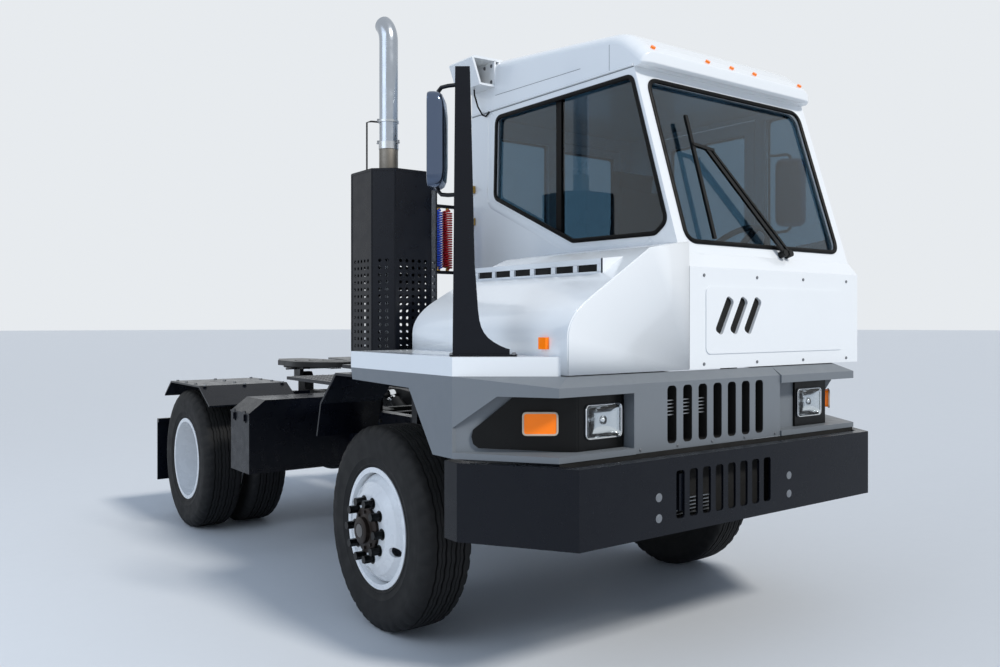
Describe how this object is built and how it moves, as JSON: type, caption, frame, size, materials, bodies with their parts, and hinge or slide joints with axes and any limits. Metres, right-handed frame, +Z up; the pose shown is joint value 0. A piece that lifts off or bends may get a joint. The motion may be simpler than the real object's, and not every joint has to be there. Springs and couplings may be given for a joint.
{
  "type": "yard truck",
  "caption": "Terminal tractor with an offset cab, engine hood, stack, twin rear wheels and a lifting fifth wheel, for shunting trailers round a yard",
  "frame": {"origin": "on the ground, under the middle of the vehicle's bounding box", "axes": "X forward, Y to the driver's left, Z up"},
  "size_m": [5.05, 2.6532, 3.2483],
  "materials": {
    "white_paint": "gloss white enamel",
    "grey_plastic": "satin grey moulding",
    "black_paint": "satin black paint",
    "black_plastic": "matt black",
    "lamp_clear": "clear lens",
    "lamp_amber": "amber lens",
    "lamp_red": "red lens",
    "stack_steel": "aluminised steel",
    "engine_iron": "cast",
    "radiator_alu": "dark finned core",
    "tank_alu": "brushed",
    "hose_red": "nylon",
    "hose_blue": "nylon",
    "glass": "tinted",
    "seat_fabric": "woven",
    "wheel_white": "white enamel",
    "tyre_rubber": "black rubber",
    "rod_chrome": "hard chrome",
    "plate_iron": "greased casting"
  },
  "bodies": {
    "chassis": {"frame": "black_paint", "front_bumper": "black_paint", "grille_panel": "grey_plastic", "lamp_panels": "grey_plastic", "lamp_bezels": "black_plastic", "headlamps": "lamp_clear", "amber_lamps": "lamp_amber", "front_fenders": "grey_plastic", "side_decks": "white_paint", "mirror_post": "black_paint", "mirrors": "black_plastic", "exhaust_shroud": "black_paint", "exhaust_stack": "stack_steel", "engine": "engine_iron", "radiator": "radiator_alu", "front_axle": "black_paint", "rear_axle": "black_paint", "fuel_tank": "tank_alu", "battery_box": "black_paint", "catwalk": "black_paint", "air_hose_red": "hose_red", "air_hose_blue": "hose_blue", "rear_fenders": "black_paint", "tail_lamps": "lamp_red", "cab_floor": "black_plastic", "front_panel": "white_paint", "screen_frame": "white_paint", "cab_right_wall": "white_paint", "cab_left_wall": "white_paint", "cab_rear_wall": "white_paint", "cab_roof": "white_paint", "engine_hood": "white_paint", "cab_glass": "glass", "dashboard": "black_plastic", "seat": "seat_fabric", "wiper": "black_plastic"},
    "door_left": {"left_door": "white_paint", "left_door_glass": "glass"},
    "door_rear": {"rear_door": "white_paint", "rear_door_glass": "glass"},
    "knuckle_right": {"knuckle_right": "black_paint"},
    "knuckle_left": {"knuckle_left": "black_paint"},
    "tie_rod": {"tie_rod": "black_paint"},
    "wheel_front_right": {"front_wheel_right": "wheel_white", "front_tyre_right": "tyre_rubber"},
    "wheel_front_left": {"front_wheel_left": "wheel_white", "front_tyre_left": "tyre_rubber"},
    "wheels_rear_right": {"rear_wheels_right": "wheel_white", "rear_tyres_right": "tyre_rubber"},
    "wheels_rear_left": {"rear_wheels_left": "wheel_white", "rear_tyres_left": "tyre_rubber"},
    "lift_boom": {"lift_boom": "black_paint"},
    "lift_barrels": {"lift_barrels": "black_paint"},
    "lift_rods": {"lift_rods": "rod_chrome"},
    "fifth_wheel": {"fifth_wheel": "plate_iron"}
  },
  "joints": [
    {"name": "steer_right", "type": "hinge", "parent": "chassis", "child": "knuckle_right", "pos_m": [1.115, -0.83, 0.515], "axis": [0, 0, 1], "range_deg": [-35, 35]},
    {"name": "steer_left", "type": "hinge", "parent": "chassis", "child": "knuckle_left", "pos_m": [1.115, 0.83, 0.515], "axis": [0, 0, 1], "range_deg": [-35, 35]},
    {"name": "tie_rod_pivot", "type": "hinge", "parent": "knuckle_right", "child": "tie_rod", "pos_m": [0.895, -0.83, 0.434], "axis": [0, 0, 1], "range_deg": [-35, 35]},
    {"name": "spin_front_right", "type": "hinge", "parent": "knuckle_right", "child": "wheel_front_right", "pos_m": [1.115, -1.02, 0.515], "axis": [0, 1, 0], "continuous": true},
    {"name": "spin_front_left", "type": "hinge", "parent": "knuckle_left", "child": "wheel_front_left", "pos_m": [1.115, 1.02, 0.515], "axis": [0, 1, 0], "continuous": true},
    {"name": "spin_rear_right", "type": "hinge", "parent": "chassis", "child": "wheels_rear_right", "pos_m": [-1.828, -0.912, 0.515], "axis": [0, 1, 0], "continuous": true},
    {"name": "spin_rear_left", "type": "hinge", "parent": "chassis", "child": "wheels_rear_left", "pos_m": [-1.828, 0.912, 0.515], "axis": [0, 1, 0], "continuous": true},
    {"name": "door_left_hinge", "type": "hinge", "parent": "chassis", "child": "door_left", "pos_m": [1.692, 1.165, 2.05], "axis": [0, 0, -1], "range_deg": [0, 75]},
    {"name": "door_rear_slide", "type": "slide", "parent": "chassis", "child": "door_rear", "axis": [0, -1, 0], "range_m": [0, 0.6]},
    {"name": "boom_lift", "type": "hinge", "parent": "chassis", "child": "lift_boom", "pos_m": [-0.335, 0, 0.9], "axis": [0, 1, 0], "range_deg": [0, 20]},
    {"name": "barrel_swing", "type": "hinge", "parent": "chassis", "child": "lift_barrels", "pos_m": [-0.835, 0, 0.76], "axis": [0, 1, 0], "range_deg": [0, 31]},
    {"name": "rod_slide", "type": "slide", "parent": "lift_barrels", "child": "lift_rods", "axis": [-0.8944, 0, 0.4472], "range_m": [0, 0.16]},
    {"name": "plate_pitch", "type": "hinge", "parent": "lift_boom", "child": "fifth_wheel", "pos_m": [-1.685, 0, 1.11], "axis": [0, 1, 0], "range_deg": [-12, 12]}
  ],
  "couplings": [
    {"joint": "steer_left", "follows": "steer_right", "ratio": 1},
    {"joint": "tie_rod_pivot", "follows": "steer_right", "ratio": -1},
    {"joint": "barrel_swing", "follows": "boom_lift", "ratio": 1.53},
    {"joint": "rod_slide", "follows": "boom_lift", "m_per_rad": 0.4377}
  ]
}
